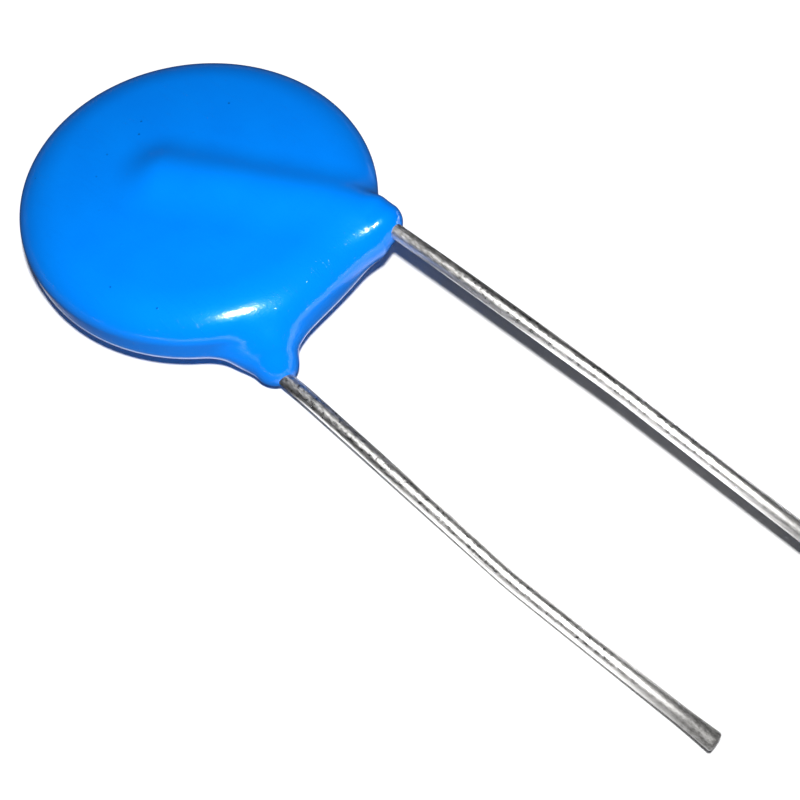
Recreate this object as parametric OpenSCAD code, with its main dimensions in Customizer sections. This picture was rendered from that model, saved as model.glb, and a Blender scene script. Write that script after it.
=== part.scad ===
// Disc varistor with radial leads, lying on its back face.
// The disc's face looks along +Z and the leads run along -Y.
// One continuous epoxy skin is dipped over a soldered stack: ceramic disc,
// a silver electrode on each face, and a tinned wire soldered to each one.

/* [Ceramic] */
// Diameter of the ceramic disc
ceramic_d = 20; // [16:0.5:24]
// Thickness of the ceramic disc
ceramic_t = 2.3; // [1.6:0.1:3.4]
// Chamfer on the edges of the pressed disc
ceramic_chamfer = 0.25; // [0.15:0.05:0.35]
// Bare margin between the electrode and the edge of the disc
electrode_margin = 0.8; // [0.5:0.1:1.6]
// Thickness of each silver electrode
electrode_t = 0.05; // [0.05:0.01:0.1]

/* [Leads] */
// Diameter of the tinned wire
wire_d = 0.9; // [0.6:0.05:1]
// Distance between the two leads where they leave the coating
lead_pitch = 10; // [8.5:0.25:11.5]
// Length of each lead from the level of the plain rim to its tip
lead_len = 30.05; // [25:0.05:37]
// Length of wire laid across the disc past the level of its middle
grip_past = 1.65; // [1:0.05:4]
// Angle between the wire on the disc and the wire outside it
splay = 30; // [26:0.5:34]
// How far inside the plain rim each wire turns outward
corner_inset = 1.35; // [1.1:0.05:2.2]
// Inside radius of that corner
corner_r = 1.2; // [0.6:0.1:2]
// How far beyond the plain rim the front lead first drifts
front_drift_at = 3.45; // [1.5:0.05:6]
// Straight run of the front lead from there to its second drift
front_drift_gap = 10.3; // [7:0.1:14]
// How far beyond the plain rim the back lead first drifts
back_drift_at = 1.55; // [1.5:0.05:4]
// Straight run of the back lead from there to its second drift
back_drift_gap = 14.2; // [9:0.1:16]
// Spacing of the small kinks that make up one drift
kink_gap = 0.7; // [0.4:0.1:1]
// Chamfer at each cut tip
tip_chamfer = 0.06; // [0.02:0.01:0.1]

/* [Solder] */
// Film of solder under each wire
solder_film = 0.1; // [0.05:0.01:0.15]
// Radius of each bead of solder
solder_r = 1.25; // [1.1:0.05:1.35]
// Length of wire that the bead covers
solder_len = 9.5; // [6:0.5:10.5]
// Overrun of the bead past the inner end of the wire
solder_over = 0.4; // [0.2:0.1:0.8]

/* [Coating] */
// Coating over each face of the ceramic
coat_face = 1.2; // [1.15:0.05:1.5]
// Coating round the edge of the ceramic
coat_rim = 0.75; // [0.7:0.05:1.2]
// Depth of the rounding of the rim
rim_round = 2; // [1.2:0.1:2.1]
// Run of that rounding in across each face
rim_reach = 5.85; // [3:0.05:6]
// Coating over the wire where it makes a ridge
coat_ridge = 0.05; // [0.05:0.05:0.3]
// Coating over the inner end of the wire
coat_start = 0.4; // [0.2:0.05:0.6]
// Run of the meniscus from the ridges to the faces
ridge_blend = 2.6; // [1.5:0.1:3]
// Run of the meniscus from the web to the rim
web_blend = 1.6; // [0.8:0.1:2]
// Run of the meniscus from the necks to the web
neck_blend = 0.4; // [0.3:0.05:0.8]
// Radius of the front neck at its root
front_neck_r = 1.1; // [1:0.05:1.6]
// Radius of the front neck near its mouth
front_mouth_r = 1.25; // [1.05:0.05:1.5]
// How far the front mouth lies beyond the plain rim
front_mouth_out = 0.7; // [0.5:0.05:1.4]
// How far the front mouth sinks below the middle of its lead
front_mouth_sink = 0.15; // [0:0.05:0.3]
// Radius of the back neck at its root
back_neck_r = 1.1; // [1:0.05:1.6]
// Radius of the back neck near its mouth
back_mouth_r = 1.35; // [1.05:0.05:1.5]
// How far the back mouth lies beyond the plain rim
back_mouth_out = 1.2; // [0.5:0.05:1.4]
// How far the back neck sits towards the middle from its lead
back_neck_inset = 0.35; // [0:0.05:0.4]
// Radius of the edge of the web between the necks
web_r = 0.9; // [0.7:0.05:1.2]
// How far the web's ends reach beyond the plain rim
web_out = 0.25; // [0:0.05:0.5]
// How far the web's edge draws back between its ends
web_sag = 0.75; // [0.3:0.05:0.9]
// Distance of each end of the web from its lead
web_inset = 1.05; // [0.8:0.05:1.6]
// Height of the web's front end above its middle
web_lift = 1.1; // [0.7:0.05:1.3]
// How far inside the plain rim the web begins
web_root = 1.85; // [1.4:0.05:2.4]

/* [Hidden] */

coat_blue = [0.0, 0.53, 0.97];
oxide_grey = [0.30, 0.31, 0.33];
silver_pale = [0.83, 0.83, 0.81];
solder_grey = [0.66, 0.67, 0.69];
tin_bright = [0.76, 0.76, 0.77];

electrode_d = ceramic_d - 2 * electrode_margin;
face_z = ceramic_t / 2 + electrode_t;
wire_z = face_z + solder_film + wire_d / 2;
rim_r = ceramic_d / 2 + coat_rim;
half_t = ceramic_t / 2 + coat_face;
lead_x = lead_pitch / 2;
corner_in = corner_r + wire_d / 2;
corner_cut = corner_in * tan(splay / 2);
corner_drop = rim_r - corner_inset;
grip_len = corner_drop / cos(splay) + grip_past;
inner_end = [lead_x - grip_len * sin(splay), grip_len * cos(splay) - corner_drop, wire_z];
corner = [lead_x, -corner_drop, wire_z];

// Drifts of each lead after its corner, as [straight, side angle, lift angle].
// A side angle turns the wire towards +X, a lift angle raises it.
rim_run = corner_inset - corner_cut;
front_drifts = [[rim_run + front_drift_at, 0.5, -2.3], [front_drift_gap, -1.5, -1.6]];
back_drifts = [[rim_run + back_drift_at, -2.6, -2.0], [back_drift_gap, 2.8, 3.3]];

// The outer surface of the coating is the zero level of a blended distance,
// negative inside and positive outside.

function lerp(a, b, t) = a + (b - a) * t;

// Lesser of two distances, with a fillet of run k where they meet
function blended(a, b, k) =
    let (h = max(k - abs(a - b), 0) / k)
    min(a, b) - h * h * k / 4;

// Distance to the coated disc, a slab whose rim is rounded as part of an ellipse
function slab_dist(p) =
    let (u = (norm([p[0], p[1]]) - rim_r + rim_reach) * rim_round / rim_reach,
         v = abs(p[2]) - half_t + rim_round)
    min(max(u, v), 0) + norm([max(u, 0), max(v, 0)]) - rim_round;

// Distance to a round rod from a to b, whose radius goes from ra to rb
function rod_dist(p, a, b, ra, rb) =
    let (ab = b - a,
         t = min(max((p - a) * ab / (ab * ab), 0), 1))
    norm(p - a - t * ab) - lerp(ra, rb, t);

flip = [-1, 1, -1];
function flipped(p) = [p[0] * flip[0], p[1] * flip[1], p[2] * flip[2]];

start_r = wire_d / 2 + coat_start;
ridge_r = wire_d / 2 + coat_ridge;
back_neck_x = lead_x - back_neck_inset;
front_mouth = [lead_x, front_mouth_r - rim_r - front_mouth_out, wire_z - front_mouth_sink];
back_root = [-back_neck_x, -corner_drop, -wire_z];
back_mouth = [-back_neck_x, back_mouth_r - rim_r - back_mouth_out, -wire_z];
web_x = lead_x - web_inset;

// Distance to the web, a thick sheet that twists from the back neck up to the front one
function web_dist(p) =
    let (t = min(max(p[0] / web_x, -1), 1),
         edge = rim_r + web_out - web_sag * (1 - t * t),
         across = max(abs(p[0]) - web_x, 0),
         along = max(web_r - edge - p[1], p[1] + rim_r - web_root, 0))
    norm([across, along, p[2] - web_lift * t]) - web_r;

function skin_dist(p) =
    let (disc = slab_dist(p),
         front = rod_dist(p, inner_end, corner, start_r, ridge_r),
         back = rod_dist(p, flipped(inner_end), flipped(corner), start_r, ridge_r),
         ridged = blended(blended(disc, front, ridge_blend), back, ridge_blend),
         webbed = blended(ridged, web_dist(p), web_blend),
         front_neck = rod_dist(p, corner, front_mouth, front_neck_r, front_mouth_r),
         back_neck = rod_dist(p, back_root, back_mouth, back_neck_r, back_mouth_r))
    blended(blended(webbed, front_neck, neck_blend), back_neck, neck_blend);

// Distance along a ray to the skin: halving first, then chord steps
ray_max = rim_r;
function halved(o, d, lo, hi, n) =
    n == 0 ? [lo, hi]
    : let (m = (lo + hi) / 2)
      skin_dist(o + m * d) < 0 ? halved(o, d, m, hi, n - 1) : halved(o, d, lo, m, n - 1);
function chorded(o, d, lo, hi, flo, fhi, n) =
    let (t = lo - flo * (hi - lo) / (fhi - flo))
    n == 0 ? t
    : let (ft = skin_dist(o + t * d))
      ft < 0 ? chorded(o, d, t, hi, ft, fhi, n - 1) : chorded(o, d, lo, t, flo, ft, n - 1);
function to_skin(o, d) =
    let (b = halved(o, d, 0, ray_max, 7))
    o + d * chorded(o, d, b[0], b[1], skin_dist(o + b[0] * d), skin_dist(o + b[1] * d), 2);

// Rays start on a ring inside the rim. Near the necks the ring moves out, and it
// rises into the front neck and sinks into the back one.
ring_r = rim_r - 0.7 * rim_round;
ring_out = (front_mouth_out + back_mouth_out) / 2;
ring_lift = 0.3 * wire_z;
neck_angle = atan(lead_x / (rim_r + ring_out / 2));
fine_arc = 48;
fine_steps = 54;
plain_steps = 34;
face_rings = 9;
ring_crowd = 1.2;
rim_steps = 14;
turn_steps = fine_steps + plain_steps;
ray_count = 2 * face_rings + rim_steps + 1;

// Angle from -Y of each column of rays, closely spaced round the necks
function column_angle(i) =
    i <= fine_steps
    ? lerp(-fine_arc, fine_arc, i / fine_steps)
    : lerp(fine_arc, 360 - fine_arc, (i - fine_steps) / plain_steps);
function signed(a) = a > 180 ? a - 360 : a;
// 1 at the front neck, -1 at the back neck, fading away from both
function sway(a) = let (u = signed(a) / neck_angle) u * exp(0.5 * (1 - u * u));

function column_point(a, j) =
    let (s = sway(a),
         out = [sin(a), -cos(a), 0],
         start_r = ring_r + ring_out * s * s,
         lift = ring_lift * s)
    j < face_rings
    ? let (f = pow((j + 1) / (face_rings + 1), ring_crowd))
      to_skin(out * start_r * f + [0, 0, lift * f * f], [0, 0, 1])
    : j > face_rings + rim_steps
    ? let (f = pow((ray_count - j) / (face_rings + 1), ring_crowd))
      to_skin(out * start_r * f + [0, 0, lift * f * f], [0, 0, -1])
    : let (e = 90 - 180 * (j - face_rings) / rim_steps)
      to_skin(out * start_r + [0, 0, lift], out * cos(e) + [0, 0, sin(e)]);

// Lowest point under the back neck and ridge, on which the part rests
function depth_under(a, b) =
    max([for (t = [0:0.05:1]) -to_skin([lerp(a[0], b[0], t), lerp(a[1], b[1], t), 0], [0, 0, -1])[2]]);
rest_z = max(depth_under(back_root, back_mouth), depth_under(flipped(inner_end), flipped(corner)));

module skin() {
    points = concat(
        [for (i = [0:turn_steps - 1], j = [0:ray_count - 1]) column_point(column_angle(i), j)],
        [to_skin([0, 0, 0], [0, 0, 1]), to_skin([0, 0, 0], [0, 0, -1])]);
    top = turn_steps * ray_count;
    faces = concat(
        [for (i = [0:turn_steps - 1], j = [0:ray_count - 2])
            let (a = i * ray_count + j, b = (i + 1) % turn_steps * ray_count + j)
            each [[a, b, b + 1], [a, b + 1, a + 1]]],
        [for (i = [0:turn_steps - 1])
            [top, (i + 1) % turn_steps * ray_count, i * ray_count]],
        [for (i = [0:turn_steps - 1])
            [top + 1, (i + 1) * ray_count - 1, ((i + 1) % turn_steps + 1) * ray_count - 1]]);
    polyhedron(points, faces, convexity = 6);
}

// Everything is drawn about the middle of the disc, then set down on its ridge
// with the origin under the middle of the whole part
module at_rest() {
    translate([0, rest_y, rest_z]) children();
}

// The back face is the front face turned half round the Y axis
module on_face(side) {
    rotate([0, side > 0 ? 0 : 180, 0]) children();
}

module ceramic_shape() {
    r = ceramic_d / 2;
    t = ceramic_t / 2;
    c = ceramic_chamfer;
    rotate_extrude($fn = 64)
        polygon([[0, -t], [r - c, -t], [r, c - t], [r, t - c], [r - c, t], [0, t]]);
}

module electrode_shape() {
    translate([0, 0, ceramic_t / 2])
        cylinder(d = electrode_d, h = electrode_t, $fn = 64);
}

// Places its children with +Z running down the wire on the disc, and +Y up from it
module along_grip(z) {
    translate([inner_end[0], inner_end[1], z])
        rotate([0, 0, splay])
            rotate([90, 0, 0])
                children();
}

// Half-round bead over the wire, flat on the electrode
module solder_shape() {
    intersection() {
        along_grip(face_z) {
            translate([0, 0, solder_r - solder_over - wire_d / 2])
                cylinder(r = solder_r, h = solder_len - 2 * solder_r + solder_over + wire_d / 2, $fn = 32);
            translate([0, 0, solder_r - solder_over - wire_d / 2])
                sphere(r = solder_r, $fn = 32);
            translate([0, 0, solder_len - solder_r])
                sphere(r = solder_r, $fn = 32);
        }
        translate([0, 0, face_z])
            cylinder(r = ceramic_d / 2, h = 2 * solder_r, $fn = 64);
    }
}

// Each drift is spread over three kinks of a third of its angle
kinks_in_drift = 3;
function kinks(drifts) =
    [for (d = drifts, k = [0:kinks_in_drift - 1])
        [k == 0 ? d[0] : kink_gap, d[1] / kinks_in_drift, d[2] / kinks_in_drift]];

// The corner is bent in small even steps that touch the arc of its radius
corner_kinks = 5;
corner_step = 2 * corner_in * tan(splay / (2 * corner_kinks));
grip_straight = grip_len - corner_cut;
function bends_with_corner(drifts) =
    let (after = kinks(drifts))
    concat([for (k = [0:corner_kinks - 1])
               [k == 0 ? grip_straight + corner_step / 2 : corner_step, -splay / corner_kinks, 0]],
           [for (k = [0:len(after) - 1])
               k == 0 ? after[k] + [corner_step / 2, 0, 0] : after[k]]);
wire_len = grip_straight + corner_kinks * corner_step + rim_run + lead_len;

// Everything on the far side of the plane z = 0, wide and deep enough for the wire
module beyond() {
    w = 4 * wire_d;
    translate([-w / 2, -w / 2, 0]) cube(w);
}

// Straight wire with a chamfered tip, begun a little early for the mitre before it
module tip(length, early) {
    r = wire_d / 2;
    c = tip_chamfer;
    rotate_extrude($fn = 24)
        polygon([[0, -early], [r, -early], [r, length - c], [r - c, length], [0, length]]);
}

// Chain of straight wires, mitred where they meet. into is the kink at its start.
module wire_chain(bends, left, into = [0, 0, 0], i = 0) {
    early = wire_d / 4;
    bend = i < len(bends) ? bends[i] : [left, 0, 0];
    angle = norm([bend[1], bend[2]]);
    roll = atan2(bend[2], bend[1]);
    difference() {
        if (i < len(bends))
            translate([0, 0, -early]) cylinder(d = wire_d, h = bend[0] + 2 * early, $fn = 24);
        else
            tip(left, early);
        rotate([0, 0, into[1]]) rotate([0, 180 - into[0] / 2, 0]) beyond();
        if (i < len(bends))
            translate([0, 0, bend[0]])
                rotate([0, 0, roll]) rotate([0, angle / 2, 0]) beyond();
    }
    if (i < len(bends))
        translate([0, 0, bend[0]])
            rotate([0, 0, roll]) rotate([0, angle, 0]) rotate([0, 0, -roll])
                wire_chain(bends, left - bend[0], [angle, roll], i + 1);
}

module lead_shape(drifts) {
    along_grip(wire_z) wire_chain(bends_with_corner(drifts), wire_len);
}

// Where a chain ends, in the chain's own axes
function turned(roll, angle) =
    let (cr = cos(roll), sr = sin(roll), ca = cos(angle), sa = sin(angle))
    [[cr, -sr, 0], [sr, cr, 0], [0, 0, 1]]
    * [[ca, 0, sa], [0, 1, 0], [-sa, 0, ca]]
    * [[cr, sr, 0], [-sr, cr, 0], [0, 0, 1]];
function chain_end(bends, left, frame = [[1, 0, 0], [0, 1, 0], [0, 0, 1]], i = 0) =
    i == len(bends)
    ? frame * [0, 0, left]
    : let (b = bends[i])
      frame * [0, 0, b[0]]
      + chain_end(bends, left - b[0], frame * turned(atan2(b[2], b[1]), norm([b[1], b[2]])), i + 1);

// Reach of the longer lead below the disc, and the slide that centres the part on it
function lead_reach(drifts) = corner_drop + corner_cut + chain_end(kinks(drifts), rim_run + lead_len)[2];
rest_y = (max(lead_reach(front_drifts), lead_reach(back_drifts)) - rim_r) / 2;

// Seen from the back, the side angles change hands and a lift goes down
back_drifts_seen = [for (d = back_drifts) [d[0], -d[1], -d[2]]];

module stack_lead(side) {
    on_face(side) lead_shape(side > 0 ? front_drifts : back_drifts_seen);
}

module epoxy_coating() {
    color(coat_blue)
        at_rest()
            difference() {
                skin();
                ceramic_shape();
                for (side = [1, -1]) {
                    on_face(side) electrode_shape();
                    on_face(side) solder_shape();
                    stack_lead(side);
                }
            }
}

module ceramic_disc() {
    color(oxide_grey) at_rest() ceramic_shape();
}

module electrode(side) {
    color(silver_pale) at_rest() on_face(side) electrode_shape();
}

module solder(side) {
    color(solder_grey)
        at_rest()
            difference() {
                on_face(side) solder_shape();
                stack_lead(side);
            }
}

module lead(side) {
    color(tin_bright) at_rest() stack_lead(side);
}

epoxy_coating();
ceramic_disc();
electrode(1);  // front_electrode
electrode(-1);  // back_electrode
solder(1);  // front_solder
solder(-1);  // back_solder
lead(1);  // front_lead
lead(-1);  // back_lead
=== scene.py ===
import bpy
import numpy as np
from mathutils import Matrix, Vector


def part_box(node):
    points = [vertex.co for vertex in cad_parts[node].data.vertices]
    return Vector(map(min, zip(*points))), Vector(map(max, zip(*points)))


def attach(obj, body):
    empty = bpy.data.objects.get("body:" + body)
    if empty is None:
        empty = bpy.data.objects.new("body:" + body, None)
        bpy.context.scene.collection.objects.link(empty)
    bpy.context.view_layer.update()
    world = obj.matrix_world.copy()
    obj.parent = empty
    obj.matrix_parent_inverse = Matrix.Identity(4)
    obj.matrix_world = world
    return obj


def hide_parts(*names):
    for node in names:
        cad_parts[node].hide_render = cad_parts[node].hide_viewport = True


mm = 0.001

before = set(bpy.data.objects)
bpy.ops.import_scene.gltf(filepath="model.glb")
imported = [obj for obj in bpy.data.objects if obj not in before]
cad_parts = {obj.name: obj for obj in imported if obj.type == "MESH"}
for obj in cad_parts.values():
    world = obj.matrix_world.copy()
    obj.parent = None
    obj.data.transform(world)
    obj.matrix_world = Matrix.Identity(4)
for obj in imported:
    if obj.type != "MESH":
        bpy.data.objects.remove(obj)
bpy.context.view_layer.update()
discLow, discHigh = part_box("ceramic_disc")
discCentre = np.array((discLow + discHigh) / 2)
print("frame loaded, disc centre at", np.round(discCentre / mm, 3), "mm")


def gridMesh(name, points, poles):
    # points is (columns, rows, 3) in metres, and the last column joins the first. The two poles
    # close the first and the last row.
    columns, rows = points.shape[:2]
    here = np.arange(columns * rows).reshape(columns, rows)
    there = np.roll(here, -1, axis=0)
    quads = np.stack([here[:, :-1], there[:, :-1], there[:, 1:], here[:, 1:]], -1).reshape(-1, 4)
    first = columns * rows
    vertices = np.concatenate([points.reshape(-1, 3), poles])
    capA = np.stack([np.full(columns, first), there[:, 0], here[:, 0]], -1)
    capB = np.stack([np.full(columns, first + 1), here[:, -1], there[:, -1]], -1)
    triangles = np.concatenate([capA, capB])
    mesh = bpy.data.meshes.new(name)
    mesh.vertices.add(len(vertices))
    mesh.vertices.foreach_set("co", vertices.astype(np.float32).ravel())
    around = np.concatenate([quads.ravel(), triangles.ravel()])
    mesh.loops.add(around.size)
    mesh.loops.foreach_set("vertex_index", around.astype(np.int32))
    counts = np.concatenate([np.full(len(quads), 4), np.full(len(triangles), 3)])
    mesh.polygons.add(len(counts))
    mesh.polygons.foreach_set("loop_start", (np.cumsum(counts) - counts).astype(np.int32))
    mesh.update(calc_edges=True)
    mesh.validate()
    mesh.shade_smooth()
    piece = bpy.data.objects.new(name, mesh)
    bpy.context.scene.collection.objects.link(piece)
    return piece


def emptyMaterial(name):
    material = bpy.data.materials.new(name)
    material.use_nodes = True
    material.node_tree.nodes.clear()
    return material, material.node_tree


def newMaterial(name):
    material, tree = emptyMaterial(name)
    output = addNode(tree, "OutputMaterial")
    shader = addNode(tree, "BsdfPrincipled")
    tree.links.new(shader.outputs["BSDF"], output.inputs["Surface"])
    return material, tree, shader


def feed(tree, socket, value):
    # Another node's socket is linked, and a plain value is set
    if isinstance(value, bpy.types.NodeSocket):
        tree.links.new(value, socket)
    else:
        socket.default_value = value


def addNode(tree, kind, settings=None, **sockets):
    # Each keyword names a socket, with _ for a space
    node = tree.nodes.new("ShaderNode" + kind)
    for key, value in (settings or {}).items():
        setattr(node, key, value)
    for key, value in sockets.items():
        feed(tree, node.inputs[key.replace("_", " ")], value)
    return node


def objectPoint(tree, stretch=(1, 1, 1), turn=(0, 0, 0)):
    # Object coordinates in millimetres, multiplied by stretch along each axis
    place = addNode(tree, "TexCoord").outputs["Object"]
    scale = tuple(s / mm for s in stretch)
    return addNode(tree, "Mapping", Vector=place, Scale=scale, Rotation=turn).outputs[0]


def noiseAt(tree, point, scale, detail, rough=0.5):
    # scale is per mm
    noise = addNode(
        tree, "TexNoise", Vector=point, Scale=scale, Detail=detail, Roughness=rough)
    return noise.outputs["Fac"]


def ramp(tree, fac, stops):
    # stops are (position, grey level or colour)
    node = addNode(tree, "ValToRGB", Fac=fac)
    for element, (position, colour) in zip(node.color_ramp.elements, stops):
        element.position = position
        element.color = (*colour, 1) if isinstance(colour, tuple) else (colour, colour, colour, 1)
    return node.outputs["Color"]


def mapped(tree, value, begin, end, low=0.0, high=1.0):
    # Goes evenly from low to high while the value goes from begin to end, and is level outside
    return addNode(
        tree, "MapRange", Value=value, From_Min=begin, From_Max=end,
        To_Min=low, To_Max=high).outputs["Result"]


def maths(tree, operation, a, b=0):
    node = addNode(tree, "Math", {"operation": operation})
    feed(tree, node.inputs[0], a)
    feed(tree, node.inputs[1], b)
    return node.outputs[0]


def vectorMaths(tree, operation, a, b=(0, 0, 0)):
    node = addNode(tree, "VectorMath", {"operation": operation})
    feed(tree, node.inputs[0], a)
    feed(tree, node.inputs[1], b)
    return node.outputs


def mixColours(tree, fac, a, b):
    mix = addNode(tree, "Mix", {"data_type": "RGBA"})
    for index, value in ((0, fac), (6, a), (7, b)):
        feed(tree, mix.inputs[index], value)
    return mix.outputs[2]


def mixShaders(tree, fac, a, b):
    mix = addNode(tree, "MixShader", Fac=fac)
    tree.links.new(a.outputs[0], mix.inputs[1])
    tree.links.new(b.outputs[0], mix.inputs[2])
    return mix


def bumpOn(tree, height, distance, under=None):
    sockets = {"Height": height, "Distance": distance, "Strength": 1.0}
    if under is not None:
        sockets["Normal"] = under
    return addNode(tree, "Bump", **sockets).outputs["Normal"]


coating = {
    "rimRadius": 10.75,      # coated disc
    "halfThickness": 2.35,
    "dome": 0.16,            # fall of each face from the middle to the rim
    "rimDepth": 1.709,       # rounding of the rim, and its run in across each face
    "rimReach": 2.8,
    "wireHeight": 1.75,      # wire's centre line above the disc's middle
    "innerEnd": (-1.114, 1.381),
    "corner": (5.0, -9.5),
    "ridgeStart": 0.7,       # radius round the wire's inner end, and at its corner
    "ridgeEnd": 0.5,
    "ridgeBlend": 2.7,
    "webBlend": 1.864,
    "neckBlend": 0.447,
    "frontRoot": (5.05, -9.5, 1.747, 1.103),   # x, y, z and radius of each end of the necks
    "frontMouth": (5.05, -10.163, 1.571, 1.249),
    "backRoot": (-4.631, -9.5, -1.8, 1.103),
    "backMouth": (-4.631, -10.557, -1.75, 1.369),
    "webHalf": 3.928,        # half its width between the wires
    "webRadius": 0.962,      # half its thickness
    "webEdge": 11.03,        # from the disc's middle to its edge by the wires
    "webSag": 0.999,         # how far its edge is drawn up between them
    "webLift": 0.965,        # height of its ends, one above and one below the middle
    "webTop": 9.061,         # from the disc's middle to where it begins
    "inset": 0.02,           # skin set back, which keeps it inside the box of the CAD
    "columns": 480,
    "fineShare": 0.55,       # share of the columns in the arc by the necks
    "fineArc": 48,           # half of that arc, degrees
    "faceRings": 44,
    "rimSteps": 90,
    "swayArc": 24,           # where the rays of the rim start nearest to the wires, degrees
    "fanIn": 1.4,            # how far inside the rim they start
    "fanOut": 0.95,          # how much farther out by the wires
    "fanLift": 0.3,          # how far up or down there, as a share of wireHeight
    "halvings": 24,
}


def blended(a, b, run):
    # Lesser of two distances, with a fillet of that run where they meet
    h = np.maximum(run - np.abs(a - b), 0) / run
    return np.minimum(a, b) - h * h * run / 4


def rodDistance(p, a, b, ra, rb):
    # Distance to a round rod whose radius goes from ra to rb
    a, b = np.array(a, float), np.array(b, float)
    along = b - a
    t = np.clip(((p - a) @ along) / (along @ along), 0, 1)
    return np.linalg.norm(p - a - t[..., None] * along, axis=-1) - (ra + (rb - ra) * t)


def skinDistance(p, c=coating):
    # Slab with a softly rounded rim, a ridge over each wire, the twisted web below the rim and
    # a neck round each wire, joined one after another by blended
    x, y, z = p[..., 0], p[..., 1], p[..., 2]
    u = (np.hypot(x, y) - c["rimRadius"] + c["rimReach"]) * c["rimDepth"] / c["rimReach"]
    fall = c["dome"] * (x * x + y * y) / c["rimRadius"] ** 2
    v = np.abs(z) - c["halfThickness"] + fall + c["rimDepth"]
    d = np.minimum(np.maximum(u, v), 0) - c["rimDepth"]
    d = d + np.hypot(np.maximum(u, 0), np.maximum(v, 0))
    for side in (1, -1):
        inner, corner = (
            (side * q[0], q[1], side * c["wireHeight"]) for q in (c["innerEnd"], c["corner"]))
        ridge = rodDistance(p, inner, corner, c["ridgeStart"], c["ridgeEnd"])
        d = blended(d, ridge, c["ridgeBlend"])
    t = np.clip(x / c["webHalf"], -1, 1)
    edge = c["webEdge"] - c["webSag"] * (1 - t * t)
    across = np.maximum(np.abs(x) - c["webHalf"], 0)
    along = np.maximum(np.maximum(c["webRadius"] - edge - y, y + c["webTop"]), 0)
    web = np.sqrt(across ** 2 + along ** 2 + (z - c["webLift"] * t) ** 2) - c["webRadius"]
    d = blended(d, web, c["webBlend"])
    for root, mouth in ((c["frontRoot"], c["frontMouth"]), (c["backRoot"], c["backMouth"])):
        d = blended(d, rodDistance(p, root[:3], mouth[:3], root[3], mouth[3]), c["neckBlend"])
    return d + c["inset"]


def toSkin(start, direction, c=coating):
    # Halves each ray until it ends on the skin
    low, high = np.zeros(start.shape[:-1]), np.full(start.shape[:-1], c["rimRadius"])
    for _ in range(c["halvings"]):
        middle = (low + high) / 2
        inside = skinDistance(start + middle[..., None] * direction) < 0
        low, high = np.where(inside, middle, low), np.where(inside, high, middle)
    return start + low[..., None] * direction


def coatingSkin(c=coating):
    # Columns of rays round the disc, set closer round the necks. In each column some rays go
    # straight up from a spoke, then a fan goes over the rim, then some go straight down.
    fine, arc = int(c["columns"] * c["fineShare"]), c["fineArc"]
    angle = np.concatenate([
        np.linspace(-arc, arc, fine, endpoint=False),
        np.linspace(arc, 360 - arc, c["columns"] - fine, endpoint=False)])
    signed = np.where(angle > 180, angle - 360, angle)
    u = signed / c["swayArc"]
    sway = u * np.exp(0.5 * (1 - u * u))
    out = np.stack([np.sin(np.radians(angle)), -np.cos(np.radians(angle)), 0 * angle], -1)[:, None]
    up = np.array([0, 0, 1.0])
    reach = (c["rimRadius"] - c["fanIn"] + c["fanOut"] * sway ** 2)[:, None, None]
    lift = (c["fanLift"] * c["wireHeight"] * sway)[:, None, None]
    share = (np.arange(1, c["faceRings"] + 1) / (c["faceRings"] + 1))[None, :, None]
    spoke = out * reach * share + up * lift * share ** 2
    fan = np.radians(90 - 180 * np.arange(c["rimSteps"] + 1) / c["rimSteps"])[None, :, None]
    fanStart = np.broadcast_to(out * reach + up * lift, (len(angle), fan.shape[1], 3))
    start = np.concatenate([spoke, fanStart, spoke[:, ::-1]], 1)
    flat = np.broadcast_to(up, spoke.shape)
    direction = np.concatenate([flat, out * np.cos(fan) + up * np.sin(fan), -flat], 1)
    rows = toSkin(start, direction)
    poles = toSkin(np.zeros((2, 3)), np.stack([up, -up]))
    return gridMesh("coating", rows[:, ::-1] * mm + discCentre, poles[::-1] * mm + discCentre)


coat = coatingSkin()
print("coating:", len(coat.data.polygons), "faces")

wire = {
    "radius": 0.448,
    "innerEnd": (-1.252, 1.429),
    "cornerDrop": 9.4,       # from the disc's middle to the corner
    "gripPast": 1.65,        # run past the disc's middle level
    "splay": 30.0,
    "cornerRadius": 1.65,
    "pastRim": 30.0,         # length beyond the level of the plain rim
    "driftRun": 2.1,         # length over which a drift turns
    "driftEarly": 0.35,      # how far before its named distance it starts
    "around": 56,
    "spacing": 0.07,
    "tipFlare": 2.4,         # length of the squeezed end, and how much wider and thinner it gets
    "tipWide": 0.2,
    "tipThin": 0.1,
    "edgeRun": 0.1,          # length over which the cut edge rounds over
    "edgeIn": 0.16,          # by this share of the radius
    "faceOut": 0.03,         # how far the middle of the cut face stands out
}
# Each drift is (distance past the plain rim, degrees towards +X, degrees up)
frontDrifts = ((3.45, 0.5, -2.3), (15.15, -1.5, -1.6))
backDrifts = ((1.55, -2.6, -2.0), (17.15, 2.8, 3.3))


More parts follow.
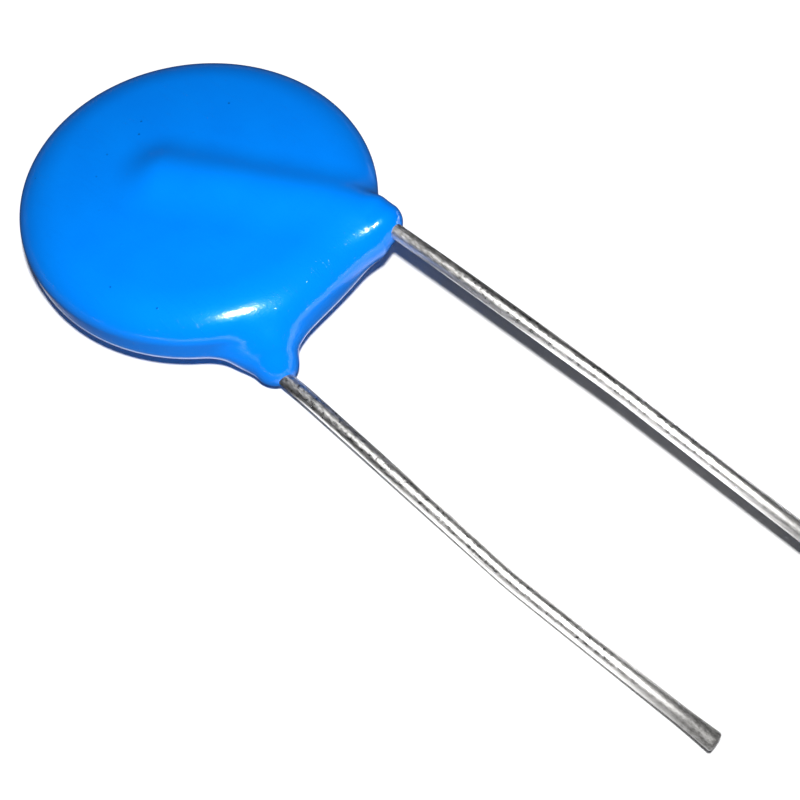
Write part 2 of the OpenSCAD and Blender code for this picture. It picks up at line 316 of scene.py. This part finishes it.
def wirePath(side, drifts, w=wire, c=coating):
    # Heading and lift are ramps along the wire, and the place is the sum of its small steps
    cut = w["cornerRadius"] * np.tan(np.radians(w["splay"] / 2))
    drop = w["cornerDrop"]
    grip = drop / np.cos(np.radians(w["splay"])) + w["gripPast"]
    turn = w["cornerRadius"] * np.radians(w["splay"])
    rim = grip - cut + turn + (c["rimRadius"] - drop - cut)
    total = rim + w["pastRim"]
    s = np.linspace(0, total, int(total / w["spacing"]))
    heading = side * w["splay"] * (1 - np.clip((s - grip + cut) / turn, 0, 1))
    lift = 0 * s
    for past, sideways, upward in drifts:
        t = np.clip((s - rim - past + w["driftEarly"]) / w["driftRun"], 0, 1)
        heading, lift = heading + sideways * t, lift + upward * t
    a, e = np.radians(heading), np.radians(lift)
    step = np.stack([np.sin(a) * np.cos(e), -np.cos(a) * np.cos(e), np.sin(e)], -1)
    summed = np.cumsum((step[1:] + step[:-1]) / 2, 0) * (s[1] - s[0])
    moved = np.concatenate([np.zeros((1, 3)), summed])
    x, y = w["innerEnd"]
    return np.array([side * x, y, side * c["wireHeight"]]) + moved, step, s, total


def wireTube(name, side, drifts, w=wire):
    path, forward, s, total = wirePath(side, drifts)
    across = np.cross(forward, [0, 0, 1.0])
    across /= np.linalg.norm(across, axis=1)[:, None]
    above = np.cross(across, forward)
    # The cutter squeezes the end wider and thinner, and the last rings round the edge over.
    # The rings turn the way that makes the faces point outwards.
    squeeze = np.clip((s - total + w["tipFlare"]) / w["tipFlare"], 0, 1) ** 2
    edge = np.clip((s - total + w["edgeRun"]) / w["edgeRun"], 0, 1)
    shrink = 1 - w["edgeIn"] * edge ** 2
    turns = np.linspace(2 * np.pi, 0, w["around"], endpoint=False)[:, None]
    wide = w["radius"] * (1 + w["tipWide"] * squeeze) * shrink
    high = w["radius"] * (1 - w["tipThin"] * squeeze) * shrink
    ring = np.cos(turns)[..., None] * (across * wide[:, None])
    ring = ring + np.sin(turns)[..., None] * (above * high[:, None])
    ends = np.stack([path[0], path[-1] + forward[-1] * w["faceOut"]])
    return gridMesh(name, (path + ring) * mm + discCentre, ends * mm + discCentre)


frontWire = wireTube("front_wire", 1, frontDrifts)
backWire = wireTube("back_wire", -1, backDrifts)
print("wires:", len(frontWire.data.polygons), "faces each")

epoxy = {
    "blue": (0.0001, 0.243, 0.99),
    "deepBlue": (0.0001, 0.228, 0.96),
    "cloudNoise": (0.35, 3),             # each noise has a scale, a detail and a roughness
    "cloudEdges": (0.3, 0.7),
    "index": 1.5,
    "level": 0.2,           # level and tint of the broad lobe
    "tint": (0.0, 0.85, 1.0),
    "coatIndex": 1.4,
    "glow": 0.36,           # roughness of the broad lobe, and how far it varies
    "glowSpread": 0.05,
    "gloss": 0.13,          # roughness of the sharp one
    "speckBlue": (0.0001, 0.10, 0.45),
    "speckScale": 1.3,
    "speckSize": (0.05, 0.11),           # from a cell's middle: where it is full, where it ends
    "speckFrom": 0.82,      # draw above which a cell has a speck
    "darkFrom": 0.93,       # and above which the speck is dark
    "grainNoise": (6.0, 3, 0.65),
    "peelNoise": (1.1, 2),
    "hairNoise": (1.7, 1),
    "hairStretch": (5.0, 0.25, 1.0),
    "hairTurn": 0.6,
    "hairEdges": (0.655, 0.67),
    "peel": 0.0035,         # heights in mm: orange peel, fine grain, dust, hairline scratches
    "grain": 0.009,
    "dust": 0.012,
    "scratch": 0.004,
}


def epoxyMaterial(e=epoxy):
    # Dipped epoxy: clouded blue, faint orange peel, grains that sparkle by the highlights,
    # a few dust specks and hairline scratches
    material, tree, shader = newMaterial("blue_epoxy")
    point = objectPoint(tree)
    low, high = e["cloudEdges"]
    cloud = noiseAt(tree, point, *e["cloudNoise"])
    tone = ramp(tree, cloud, ((low, e["deepBlue"]), (high, e["blue"])))
    cells = addNode(
        tree, "TexVoronoi", {"feature": "F1"}, Vector=point, Scale=e["speckScale"],
        Randomness=1.0).outputs
    drawn = addNode(tree, "SeparateColor", Color=cells["Color"]).outputs["Red"]
    full, edge = e["speckSize"]
    near = mapped(tree, cells["Distance"], full, edge, 1.0, 0.0)
    speck = maths(tree, "MULTIPLY", near, maths(tree, "GREATER_THAN", drawn, e["speckFrom"]))
    dark = maths(tree, "MULTIPLY", speck, maths(tree, "GREATER_THAN", drawn, e["darkFrom"]))
    colour = mixColours(tree, dark, tone, (*e["speckBlue"], 1))
    tree.links.new(colour, shader.inputs["Base Color"])
    shader.inputs["IOR"].default_value = e["index"]
    shader.inputs["Specular IOR Level"].default_value = e["level"]
    shader.inputs["Specular Tint"].default_value = (*e["tint"], 1)
    shader.inputs["Coat Weight"].default_value = 1.0
    shader.inputs["Coat Roughness"].default_value = e["gloss"]
    shader.inputs["Coat IOR"].default_value = e["coatIndex"]
    grain = noiseAt(tree, point, *e["grainNoise"])
    rough = mapped(tree, grain, 0, 1, e["glow"] - e["glowSpread"], e["glow"] + e["glowSpread"])
    tree.links.new(rough, shader.inputs["Roughness"])
    stretched = objectPoint(tree, e["hairStretch"], (0, 0, e["hairTurn"]))
    low, high = e["hairEdges"]
    hair = ramp(tree, noiseAt(tree, stretched, *e["hairNoise"]), ((low, 0.0), (high, 1.0)))
    normal = bumpOn(tree, noiseAt(tree, point, *e["peelNoise"]), e["peel"] * mm)
    normal = bumpOn(tree, grain, e["grain"] * mm, under=normal)
    normal = bumpOn(tree, speck, e["dust"] * mm, under=normal)
    normal = bumpOn(tree, hair, e["scratch"] * mm, under=normal)
    tree.links.new(normal, shader.inputs["Normal"])
    tree.links.new(normal, shader.inputs["Coat Normal"])
    return material


tinned = {
    "bright": (0.86, 0.85, 0.83),
    "dull": (0.50, 0.49, 0.48),
    "toneEdges": (0.32, 0.55),           # noise levels that are all dull and all bright
    "smooth": 0.24,         # least and greatest roughness of the drawn skin
    "rough": 0.52,
    "roughEdges": (0.35, 0.65),
    "exitRough": 0.16,      # roughness added to the front wire where it leaves the coating
    "exitRun": (0.0045, -0.0025),        # from all of it to none, along Y, metres
    "dullTip": 0.64,        # roughness and tone of the handled end
    "tipTone": (0.34, 0.335, 0.325),
    "tipDark": 0.5,         # share of that tone in its pits
    "tipEdges": (0.38, 0.6),
    "tipStart": -0.019,     # where along Y the dull end begins and is full, metres
    "tipFull": -0.0245,
    "streakStretch": (4.5, 0.12, 4.5),
    "streakNoise": (1.6, 4, 0.6),
    "streak": 0.006,        # heights in mm
    "dimpleStretch": (1, 0.6, 1),
    "dimpleNoise": (6.5, 4, 0.68),
    "dimple": 0.020,
}


def tinnedMaterial(t=tinned):
    # Drawing lines along the wire, small pits, and an end dulled by handling
    material, tree, shader = newMaterial("tinned_wire")
    streak = noiseAt(tree, objectPoint(tree, t["streakStretch"]), *t["streakNoise"])
    dimple = noiseAt(tree, objectPoint(tree, t["dimpleStretch"]), *t["dimpleNoise"])
    place = addNode(
        tree, "SeparateXYZ", Vector=addNode(tree, "TexCoord").outputs["Object"]).outputs
    full, begin = t["exitRun"]
    leaving = mapped(tree, place["Y"], begin, full, 0, t["exitRough"])
    leaving = maths(tree, "MULTIPLY", leaving, maths(tree, "GREATER_THAN", place["X"], 0))
    end = mapped(tree, place["Y"], t["tipStart"], t["tipFull"])
    low, high = t["toneEdges"]
    tone = ramp(tree, streak, ((low, t["dull"]), (high, t["bright"])))
    low, high = t["tipEdges"]
    pits = tuple(t["tipDark"] * v for v in t["tipTone"])
    worn = ramp(tree, dimple, ((low, pits), (high, t["tipTone"])))
    tree.links.new(mixColours(tree, end, tone, worn), shader.inputs["Base Color"])
    shader.inputs["Metallic"].default_value = 1
    skin = mapped(tree, dimple, *t["roughEdges"], t["smooth"], t["rough"])
    skin = maths(tree, "ADD", skin, leaving)
    kept = maths(tree, "MULTIPLY", skin, maths(tree, "SUBTRACT", 1, end))
    rough = maths(tree, "ADD", kept, maths(tree, "MULTIPLY", end, t["dullTip"]))
    tree.links.new(rough, shader.inputs["Roughness"])
    normal = bumpOn(tree, streak, t["streak"] * mm)
    normal = bumpOn(tree, dimple, t["dimple"] * mm, under=normal)
    tree.links.new(normal, shader.inputs["Normal"])
    return material


inner = {
    "oxide_ceramic": {
        "light": (0.10, 0.11, 0.12), "dark": (0.05, 0.055, 0.06),
        "metal": 0, "rough": 0.7, "noise": (9, 4, 0.6), "height": 0.004},
    "silver_print": {
        "light": (0.80, 0.79, 0.76), "dark": (0.66, 0.65, 0.62),
        "metal": 1, "rough": 0.45, "noise": (7, 4, 0.6), "height": 0.003},
    "solder_bead": {
        "light": (0.62, 0.62, 0.64), "dark": (0.45, 0.45, 0.47),
        "metal": 1, "rough": 0.3, "noise": (3, 4, 0.6), "height": 0.006},
    "edges": (0.35, 0.65),
    "spread": 0.08,         # how far the roughness varies
}


def innerMaterial(name, i=inner):
    # Grainy finish of the pieces under the coating
    look, (low, high) = i[name], i["edges"]
    material, tree, shader = newMaterial(name)
    grain = noiseAt(tree, objectPoint(tree), *look["noise"])
    tone = ramp(tree, grain, ((low, look["dark"]), (high, look["light"])))
    tree.links.new(tone, shader.inputs["Base Color"])
    shader.inputs["Metallic"].default_value = look["metal"]
    rough = mapped(tree, grain, 0, 1, look["rough"] - i["spread"], look["rough"] + i["spread"])
    tree.links.new(rough, shader.inputs["Roughness"])
    tree.links.new(bumpOn(tree, grain, look["height"] * mm), shader.inputs["Normal"])
    return material


silver, solder = innerMaterial("silver_print"), innerMaterial("solder_bead")
blueEpoxy, tinnedWire = epoxyMaterial(), tinnedMaterial()
nodeFinishes = {
    "ceramic_disc": innerMaterial("oxide_ceramic"),
    "front_electrode": silver,
    "back_electrode": silver,
    "front_solder": solder,
    "back_solder": solder,
    "epoxy_coating": blueEpoxy,
    "front_lead": tinnedWire,
    "back_lead": tinnedWire,
}
for name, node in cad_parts.items():
    node.data.materials.clear()
    node.data.materials.append(nodeFinishes[name])
for piece, finish, slot, node in (
        (coat, blueEpoxy, "epoxy", "epoxy_coating"),
        (frontWire, tinnedWire, "tinned_wire", "front_lead"),
        (backWire, tinnedWire, "tinned_wire", "back_lead")):
    piece.data.materials.append(finish)
    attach(piece, "root")
    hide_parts(node)
print("finishes on", len(nodeFinishes), "nodes and 3 pieces")

studio = {
    "floorHalf": 0.6,
    "floorPale": 0.6,       # its own grey, for the light that it throws back
    "floorSeen": 1.06,      # level that the lit floor reaches for the camera
    # Painted reflection: the next levels and bands set how bright shiny surfaces see the floor,
    # apart from how it is lit
    "floorFar": 0.03,       # what shiny surfaces see of it in most places,
    "floorRim": 1.3,        # in a ring under the rim
    "floorWires": 1.7,      # and by the wires
    "rimBand": (9.7, 0.9, 2.1),          # radius of that ring, half width and faded edge, mm
    "wireBand": (-12.0, -13.5),          # where the strips under the wires begin and are full
    "wireStrip": (5.6, 1.7, 2.7),        # each strip from the middle, half width, faded edge
    "openBand": (-18.5, -21.5),          # where the floor gets bright from side to side
    "lampPlace": (-16.4, -30.6, 53.1),   # from the disc's centre, mm
    "lampSize": 3.4,
    "lampLevel": 1.04,      # what a white card shows at lampReach
    "lampReach": 67.4,
    "shadowReach": (60.0, 90.0),         # distances from the disc's middle, mm
    "fill": (0.036, 0.038, 0.046),
    "mirrorFill": 0.25,     # share of the fill that shiny surfaces see
}
lampPlace = discCentre + np.array(studio["lampPlace"]) * mm
lampAim = (discCentre - lampPlace) / np.linalg.norm(discCentre - lampPlace)


def floorMaterial(s=studio):
    # The lamp is near, so the shown floor is painted paler with distance from it, which keeps it
    # white up to the corners and leaves the shadow as dark as it is. What the epoxy and the tin
    # mirror is a painted reflection: glossy rays see the floor bright in a ring round the rim, in
    # a strip under each wire and past both strips, and hardly at all in the rest.
    material, tree = emptyMaterial("pale_floor")
    path = addNode(tree, "LightPath").outputs
    spot = addNode(tree, "TexCoord").outputs["Object"]
    fromDisc = addNode(
        tree, "Mapping", Vector=spot, Scale=(1 / mm, 1 / mm, 0),
        Location=(-discCentre[0] / mm, -discCentre[1] / mm, 0)).outputs["Vector"]
    radius = vectorMaths(tree, "LENGTH", fromDisc)["Value"]
    ring, width, fade = s["rimBand"]
    off = maths(tree, "ABSOLUTE", maths(tree, "SUBTRACT", radius, ring))
    byRim = mapped(tree, off, fade, width, s["floorFar"], s["floorRim"])
    place = addNode(tree, "SeparateXYZ", Vector=fromDisc).outputs
    strip, width, fade = s["wireStrip"]
    aside = maths(tree, "SUBTRACT", maths(tree, "ABSOLUTE", place["X"]), strip)
    within = mapped(tree, maths(tree, "ABSOLUTE", aside), fade, width)
    byWires = mapped(tree, place["Y"], *s["wireBand"], 0, s["floorWires"])
    byOpen = mapped(tree, place["Y"], *s["openBand"], 0, s["floorWires"])
    byWires = maths(tree, "MAXIMUM", maths(tree, "MULTIPLY", byWires, within), byOpen)
    nearby = maths(tree, "MAXIMUM", byRim, byWires)
    # A flat round lamp lights the floor by two cosines over the squared distance
    ray = vectorMaths(tree, "SUBTRACT", spot, lampPlace)["Vector"]
    ahead = vectorMaths(tree, "DOT_PRODUCT", ray, lampAim)["Value"]
    length = vectorMaths(tree, "LENGTH", ray)["Value"]
    falloff = maths(tree, "DIVIDE", maths(tree, "POWER", length, 4), ahead)
    strength = s["lampLevel"] * (s["lampReach"] * mm) ** 2 * lampPlace[2]
    level = maths(tree, "MULTIPLY", falloff, 1 / strength)
    seen = maths(tree, "MULTIPLY", level, s["floorSeen"])
    # painted reflection: the floor as glossy rays see it, bright only in the ring and the strips
    paintedReflection = maths(tree, "MULTIPLY", level, nearby)
    shader = addNode(tree, "BsdfDiffuse", Color=(s["floorPale"],) * 3 + (1,))
    for kind, grey in (("Is Glossy Ray", paintedReflection), ("Is Camera Ray", seen)):
        colour = addNode(tree, "CombineColor", Red=grey, Green=grey, Blue=grey).outputs["Color"]
        paint = addNode(tree, "BsdfDiffuse", Color=colour)
        shader = mixShaders(tree, path[kind], shader, paint)
    # Out of the shadow's reach the shown floor is plain white
    beyond = mapped(tree, radius, *s["shadowReach"])
    shown = maths(tree, "MULTIPLY", beyond, path["Is Camera Ray"])
    white = addNode(tree, "Emission", Color=(1, 1, 1, 1), Strength=1.0)
    shader = mixShaders(tree, shown, shader, white)
    output = addNode(tree, "OutputMaterial")
    tree.links.new(shader.outputs[0], output.inputs["Surface"])
    return material


half = studio["floorHalf"]
floorMesh = bpy.data.meshes.new("floor")
square = [(-half, -half, 0), (half, -half, 0), (half, half, 0), (-half, half, 0)]
floorMesh.from_pydata(square, [], [(0, 1, 2, 3)])
floor = bpy.data.objects.new("floor", floorMesh)
bpy.context.scene.collection.objects.link(floor)
floor.data.materials.append(floorMaterial())

lampData = bpy.data.lights.new("lamp", "AREA")
lampData.shape = "DISK"
lampData.size = studio["lampSize"] * mm
lampData.energy = studio["lampLevel"] * (np.pi * studio["lampReach"] * mm) ** 2
lamp = bpy.data.objects.new("lamp", lampData)
lamp.location = lampPlace
lamp.rotation_euler = (Vector(discCentre) - lamp.location).to_track_quat("-Z", "Y").to_euler()
bpy.context.scene.collection.objects.link(lamp)

# Soft fill from the room, which shiny surfaces see as dark and the camera as white
world = bpy.data.worlds.new("room")
world.use_nodes = True
room = world.node_tree
background = room.nodes["Background"]
path = addNode(room, "LightPath").outputs
dimming = maths(room, "MULTIPLY", path["Is Glossy Ray"], studio["mirrorFill"] - 1)
room.links.new(maths(room, "ADD", dimming, 1), background.inputs["Strength"])
backdrop = mixColours(room, path["Is Camera Ray"], (*studio["fill"], 1), (1, 1, 1, 1))
room.links.new(backdrop, background.inputs["Color"])
bpy.context.scene.world = world
bpy.context.scene.view_settings.view_transform = "Standard"

camera = {
    "place": (-20.544, -33.495, 44.374),   # from the disc's centre, mm
    "azimuth": -49.587,     # degrees
    "elevation": 61.830,
    "roll": 0.690,
    "focal": 930.655,       # pixels, in an image of imageWidth
    "imageWidth": 800,
    "sensorWidth": 36,
    "clip": (0.001, 5),
}


def aimCamera(c=camera):
    a, e, r = np.radians([c["azimuth"], c["elevation"], c["roll"]])
    back = np.array([np.sin(a) * np.cos(e), -np.cos(a) * np.cos(e), np.sin(e)])
    right = np.cross(-back, [0, 0, 1])
    right /= np.linalg.norm(right)
    up = np.cross(right, -back)
    turned = np.cos(r) * right + np.sin(r) * up
    upright = -np.sin(r) * right + np.cos(r) * up
    data = bpy.data.cameras.new("camera")
    data.sensor_width = c["sensorWidth"]
    data.lens = c["focal"] / c["imageWidth"] * c["sensorWidth"]
    data.clip_start, data.clip_end = c["clip"]
    eye = bpy.data.objects.new("camera", data)
    place = discCentre + np.array(c["place"]) * mm
    turn = Matrix(np.stack([turned, upright, back], 1).tolist()).to_4x4()
    eye.matrix_world = Matrix.Translation(place.tolist()) @ turn
    bpy.context.scene.collection.objects.link(eye)
    bpy.context.scene.camera = eye


aimCamera()
print("floor, lamp and camera placed")
